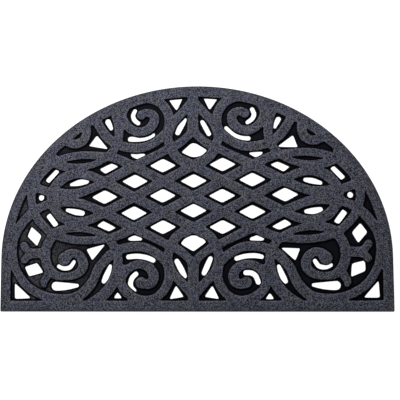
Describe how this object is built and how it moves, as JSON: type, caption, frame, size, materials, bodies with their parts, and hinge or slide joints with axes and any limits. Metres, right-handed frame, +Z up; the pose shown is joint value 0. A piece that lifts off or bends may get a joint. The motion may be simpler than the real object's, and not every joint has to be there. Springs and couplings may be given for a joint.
{
  "type": "half-round doormat",
  "caption": "Half-round rubber doormat with raised lattice and scroll bands over a thin floor with openings, and a flat underside.",
  "frame": {"origin": "on the underside, under the middle of the mat's outline", "axes": "+X along the straight edge, +Y towards the round edge, +Z up out of the pattern"},
  "size_m": [0.7, 0.406, 0.008],
  "materials": {
    "rubber": "matt, fine crumb grain, dark slate grey"
  },
  "bodies": {
    "root": {"mat": "rubber"}
  },
  "joints": []
}
